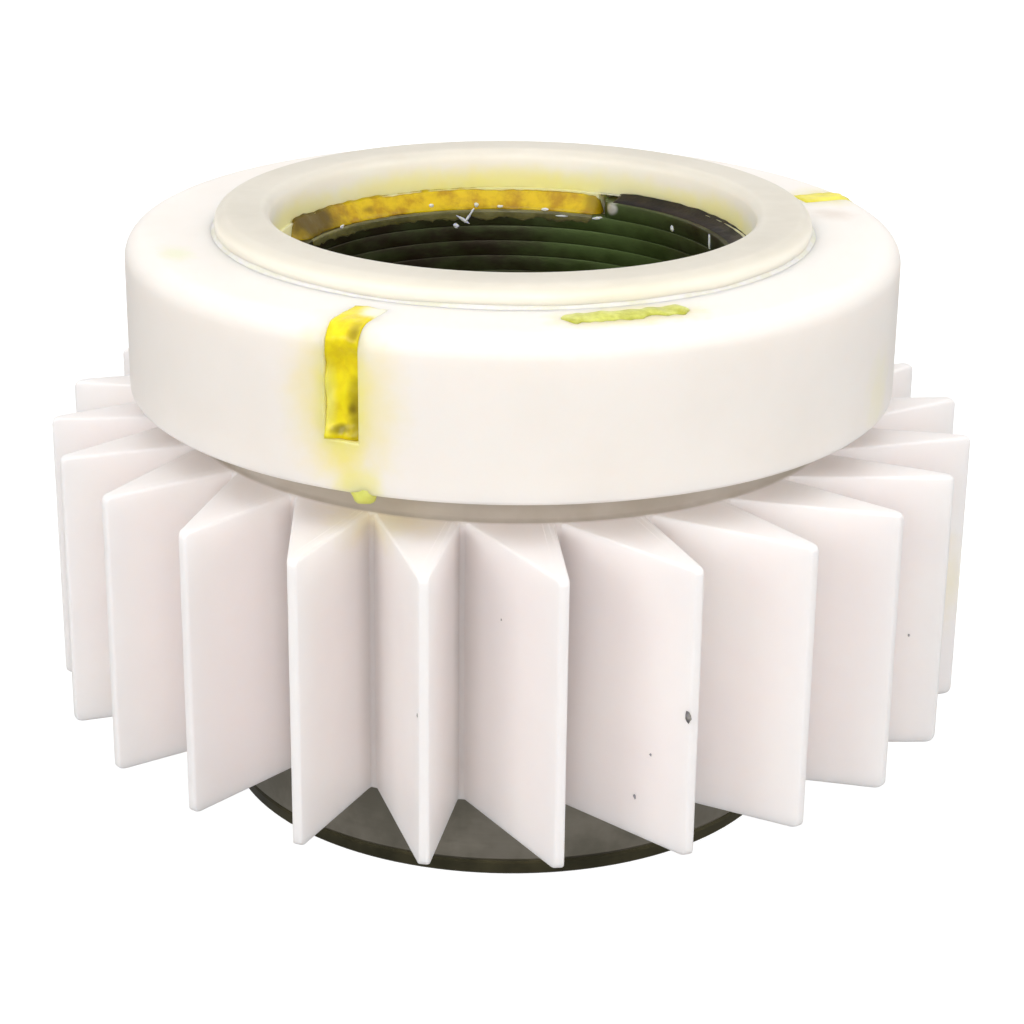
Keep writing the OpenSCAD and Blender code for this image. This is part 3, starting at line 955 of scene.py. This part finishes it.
piece("front_slot_grease", slot_grease(FRONT_SLOT, front_fill, 3.0), "collar", "grease",
      grease("packed_grease", paint(250, 232, 16), paint(232, 208, 12), slot_stains()))
piece("rear_slot_grease", slot_grease(REAR_SLOT, rear_fill, 8.0), "collar", "grease",
      grease("pale_grease", paint(244, 232, 90), paint(226, 214, 60)))
piece("hanging_grease_drop", hanging_drop(), "collar", "grease",
      grease("drop_grease", paint(227, 228, 122), paint(208, 210, 88), coat=0.1))
piece("smeared_grease", bead(SMEAR_FROM, SMEAR_TO, smear_section, 0.4), "collar", "grease",
      grease("smeared_grease", paint(229, 231, 120), paint(184, 184, 62), coat=0.1))
piece("lip_foot_grease", bead(0, 360, seal_section, 2.0), "sleeve", "grease",
      grease("clear_grease", paint(248, 244, 224), paint(240, 236, 200), coat=0.1))
# oil film and painted reflection: the lighter olive sheet stands for the lit, reflecting side of the top turn
piece("coil_film", bead(SHEEN_FILM_FROM, SHEEN_FILM_TO, film_and_sheen_section, 0.75), "collar", "grease",
      grease("oil_film_and_sheen", paint(108, 104, 62), paint(76, 74, 38), coat=0.4))
# painted shade: a dark sheet in the shadowed gap above the coil's top turn
piece("shade_wedge", bead(WEDGE_FROM, WEDGE_TO, wedge_section, 0.75), "collar", "grease",
      grease("painted_shade_sheet", paint(40, 30, 22), paint(20, 15, 12), coat=0))
# painted highlight: the beads are near white so they show as glints
piece("wet_glints", blobs(glint_places()), "collar", "grease",
      grease("glints", paint(232, 234, 226), paint(206, 208, 196), gloss=0.1, coat=0.8))
piece("ledge_grease", bead(LEDGE_FROM, LEDGE_TO, ledge_section), "collar", "grease",
      grease("amber_grease", paint(216, 184, 10), paint(170, 128, 4), amber_stains(), coat=0.12))
piece("dirt_specks", specks(), "collar", "grease",
      grease("dirt", paint(178, 172, 166), paint(126, 122, 118), gloss=0.5, coat=0))

bronze = steel("sintered_bronze", paint(150, 108, 62), paint(184, 138, 84), 0.4, 0.6, 1300, 0.03 * MM)
rubber = grease("seal_rubber", paint(30, 30, 30), paint(42, 42, 40), gloss=0.45)
key_steel = steel("key_steel", paint(96, 92, 70), paint(128, 120, 84), 0.3, 0.5, 1800, 0.02 * MM)
CARRIED = {
    "output_hub":
        steel("hub_steel", paint(128, 124, 112), paint(158, 152, 140), 0.34, 0.5, 2200, 0.03 * MM),
    # end plate: black oiled steel, whose darkness stands partly for painted shade at the hub's foot
    "end_plate":
        steel("black_steel", paint(52, 50, 36), paint(76, 72, 52), 0.4, 0.6, 1500, 0.02 * MM, 0.8),
    "end_plate_screws":
        steel("screw_steel", paint(150, 150, 148), paint(190, 188, 182), 0.25, 0.4, 3000, 0.02 * MM),
    "hub_snap_ring":
        steel("ring_steel", paint(84, 84, 84), paint(110, 110, 108), 0.3, 0.45, 1800, 0.01 * MM),
    "spring_seat":
        steel("seat_steel", paint(140, 140, 138), paint(170, 168, 165), 0.3, 0.45, 2500, 0.02 * MM),
    "retaining_wire":
        steel("wire_steel", paint(80, 80, 78), paint(120, 118, 114), 0.3, 0.45, 900, 0.01 * MM),
    "collar_dowels":
        steel("dowel_steel", paint(160, 160, 158), paint(190, 190, 186), 0.2, 0.3, 2600, 0.01 * MM),
    "lower_shaft_bush": bronze, "upper_shaft_bush": bronze, "journal_bush": bronze,
    "lower_thrust_washer": bronze, "upper_thrust_washer": bronze,
    "lower_o_ring": rubber, "upper_o_ring": rubber,
    "front_stop_key": key_steel, "rear_stop_key": key_steel,
}
for node, material in CARRIED.items():
    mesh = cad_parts[node].data
    mesh.materials.clear()
    mesh.materials.append(material)


# ---------------------------------------------------------------- floor, light and camera

PAPER_GLOW = 0.92
GLOW_BELOW, GLOW_ABOVE = 0.34, 0.86
GLOW_COLOUR = (1.0, 0.985, 0.975, 1.0)


def backdrop(name, mesh):
    """White paper that the camera sees, and that sends no light back to the object."""
    obj = bpy.data.objects.new(name, mesh)
    scene.collection.objects.link(obj)
    made = Shader(name, Roughness=0.9, Specular_IOR_Level=0.0)
    made.colour(made.mix(made.noise(6, 2), (0.30, 0.30, 0.30, 1), (0.28, 0.28, 0.28, 1)))
    made.bsdf.inputs["Emission Color"].default_value = (1, 1, 1, 1)
    made.bsdf.inputs["Emission Strength"].default_value = PAPER_GLOW
    mesh.materials.append(made.material)
    obj.visible_diffuse = obj.visible_glossy = obj.visible_transmission = obj.visible_shadow = False


def stage():
    """A white floor and a white wall all round it."""
    half, sides, level = 3.0, 24, cad_bounds[0].z - 0.01 * MM
    mesh = bpy.data.meshes.new("floor")
    corners = [(x * half, y * half, level) for x, y in ((-1, -1), (1, -1), (1, 1), (-1, 1))]
    mesh.from_pydata(corners, [], [(0, 1, 2, 3)])
    backdrop("floor", mesh)
    wall = [at(half, i * 360 / sides, z) for z in (level, half) for i in range(sides)]
    faces = [(i, (i + 1) % sides, sides + (i + 1) % sides, sides + i) for i in range(sides)]
    backdrop("wall", mesh_of(wall, faces))


def sky():
    """Soft light from all round, dimmer from below."""
    world = bpy.data.worlds.new("studio")
    world.use_nodes = True
    tree = world.node_tree
    place = tree.nodes.new("ShaderNodeTexCoord")
    parts = tree.nodes.new("ShaderNodeSeparateXYZ")
    level = tree.nodes.new("ShaderNodeMapRange")
    level.interpolation_type = "SMOOTHSTEP"
    limits = {"From Min": -0.6, "From Max": 0.8, "To Min": GLOW_BELOW, "To Max": GLOW_ABOVE}
    for socket, value in limits.items():
        level.inputs[socket].default_value = value
    tree.links.new(place.outputs["Generated"], parts.inputs[0])
    tree.links.new(parts.outputs["Z"], level.inputs["Value"])
    background = tree.nodes["Background"]
    background.inputs["Color"].default_value = GLOW_COLOUR
    tree.links.new(level.outputs[0], background.inputs["Strength"])
    scene.world = world


def softbox(name, place, width, height, power, colour=(1, 0.99, 0.98)):
    """Rectangular soft light that points at the middle of the object."""
    data = bpy.data.lights.new(name, "AREA")
    data.shape = "RECTANGLE"
    data.size, data.size_y = width, height
    data.energy = power
    data.color = colour
    obj = bpy.data.objects.new(name, data)
    obj.location = place
    middle = Vector((0, 0, (cad_bounds[0].z + cad_bounds[1].z) / 2))
    obj.rotation_euler = (middle - Vector(place)).to_track_quat("-Z", "Y").to_euler()
    scene.collection.objects.link(obj)


def camera():
    """Camera at the viewing angle: its place in tip radii from the wheel's foot, its tilt and its roll."""
    distance, height = 5.322 * TIP_R, WHEEL_Z + 2.397 * TIP_R
    tilt_down, swing, roll = 20.97, 0.05, 0.653
    data = bpy.data.cameras.new("camera")
    data.lens = 89.47
    data.clip_start, data.clip_end = 0.01, 20
    obj = bpy.data.objects.new("camera", data)
    forward = Matrix.Rotation(math.radians(-swing), 3, "Z") @ Vector(
        (0, math.cos(math.radians(tilt_down)), -math.sin(math.radians(tilt_down))))
    facing = forward.to_track_quat("-Z", "Y").to_matrix() @ Matrix.Rotation(math.radians(roll), 3, "Z")
    obj.location = (0, -distance, height)
    obj.rotation_euler = facing.to_euler()
    scene.collection.objects.link(obj)
    scene.camera = obj


stage()
sky()
softbox("top_light", (0.0, 0.0, 0.8), 0.6, 0.6, 1.1, (1, 1, 1))
softbox("front_light", (0.0, -0.85, 0.35), 0.6, 0.3, 2.3)
softbox("left_light", (-0.60, -0.65, 0.35), 0.5, 0.4, 1.9)
softbox("right_light", (0.85, -0.30, 0.35), 0.5, 0.4, 1.5)
scene.view_settings.view_transform = "Standard"
camera()
